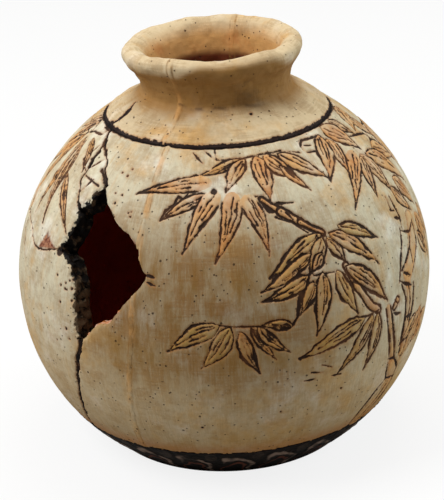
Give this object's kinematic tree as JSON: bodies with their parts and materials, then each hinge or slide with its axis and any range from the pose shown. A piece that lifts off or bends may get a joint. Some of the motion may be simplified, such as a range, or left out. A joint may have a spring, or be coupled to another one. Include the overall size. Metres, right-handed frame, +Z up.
{
  "type": "table-top chiminea pot",
  "caption": "Small round clay chiminea with a waved flared neck, a broken side opening and a carved dark foot, made as mended shards and moulded halves with filled joints.",
  "frame": {"origin": "centre of the base, on the surface the foot rests on", "axes": "+Z up along the pot's axis; the side opening faces -Y; +X is to the right when looking at the opening"},
  "size_m": [0.15, 0.15, 0.1481],
  "materials": {
    "cream_slip": "matt brushed slip",
    "golden_slip": "matt stained slip",
    "foot_brown": "matt dark wash over carved clay",
    "red_clay": "bare fired clay",
    "crack_brown": "rough dark filler",
    "grout_brown": "rough dark clay slurry",
    "seam_orange": "worn clay seam"
  },
  "bodies": {
    "root": {"foot_ring": "foot_brown", "floor_slab": "red_clay", "belly_right_half": "cream_slip", "upper_front_shard": "cream_slip", "splinter_shard": "cream_slip", "upper_left_shard": "cream_slip", "lower_left_shard": "cream_slip", "lower_front_shard": "cream_slip", "neck_right_half": "golden_slip", "neck_left_half": "golden_slip", "neck_front_seam_fill": "seam_orange", "neck_back_seam_fill": "seam_orange", "collar_joint_fill": "grout_brown", "foot_joint_fill": "grout_brown", "front_seam_fill_upper": "seam_orange", "front_seam_fill_lower": "seam_orange", "back_seam_fill": "seam_orange", "top_crack_fill": "crack_brown", "splinter_crack_fill": "crack_brown", "left_crack_fill": "crack_brown", "bottom_crack_fill": "crack_brown"}
  },
  "joints": []
}
